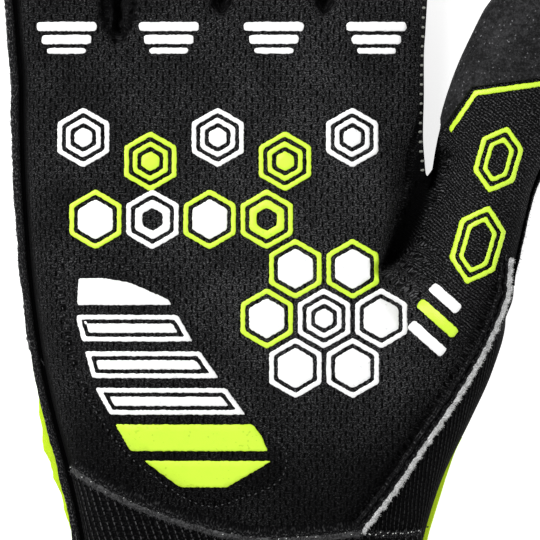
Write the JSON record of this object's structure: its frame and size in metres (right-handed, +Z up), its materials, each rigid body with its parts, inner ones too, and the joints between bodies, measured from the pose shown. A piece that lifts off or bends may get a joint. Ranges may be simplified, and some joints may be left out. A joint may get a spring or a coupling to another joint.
{
  "type": "karting glove",
  "caption": "Right-hand karting glove of black knit with outside seams, a ribbed wrist, a yellow lower back and raised silicone grips, lying palm up.",
  "frame": {"origin": "on the table, at the middle of the flat that the back of the hand lies on, under the middle of the palm", "axes": "+X to the thumb side, +Y to the fingertips, +Z up out of the palm; the glove lies on its back, palm up"},
  "size_m": [0.1506, 0.2568, 0.028],
  "materials": {
    "palm_knit": "matte open knit, slightly stretchy",
    "back_fabric": "matte smooth knit",
    "ribbed_knit": "matte ribbed elastic knit",
    "yellow_fabric": "fluorescent yellow knit",
    "suede": "synthetic suede",
    "white_silicone": "satin printed silicone",
    "yellow_silicone": "satin printed silicone"
  },
  "bodies": {
    "root": {"palm_panel": "palm_knit", "back_panel": "back_fabric", "thumb_back_panel": "back_fabric", "back_wrist_panel": "yellow_fabric", "fourchette_little_ring": "back_fabric", "fourchette_ring_middle": "back_fabric", "fourchette_middle_index": "back_fabric", "index_side_strip": "back_fabric", "wrist_gusset": "ribbed_knit", "cuff_front": "ribbed_knit", "cuff_hem": "ribbed_knit", "thumb_tip_patch": "suede", "thumb_grip_1": "yellow_silicone", "thumb_grip_2": "yellow_silicone", "thumb_grip_line": "yellow_silicone", "thenar_grip_0": "white_silicone", "thenar_grip_1": "white_silicone", "thenar_grip_2": "white_silicone", "thenar_grip_3": "white_silicone", "thenar_grip_4": "white_silicone", "thenar_grip_5": "white_silicone", "thenar_grip_6": "white_silicone", "knuckle_grip_1": "white_silicone", "knuckle_grip_2": "yellow_silicone", "knuckle_grip_3": "white_silicone", "knuckle_grip_4": "yellow_silicone", "knuckle_grip_5": "white_silicone", "finger_grip_little": "white_silicone", "finger_grip_ring": "white_silicone", "finger_grip_middle": "white_silicone", "finger_grip_index": "white_silicone", "heel_grip_1": "white_silicone", "heel_grip_2": "white_silicone", "heel_grip_3": "white_silicone", "heel_grip_4": "white_silicone", "heel_grip_5": "yellow_silicone", "heel_grip_6": "yellow_silicone"}
  },
  "joints": []
}
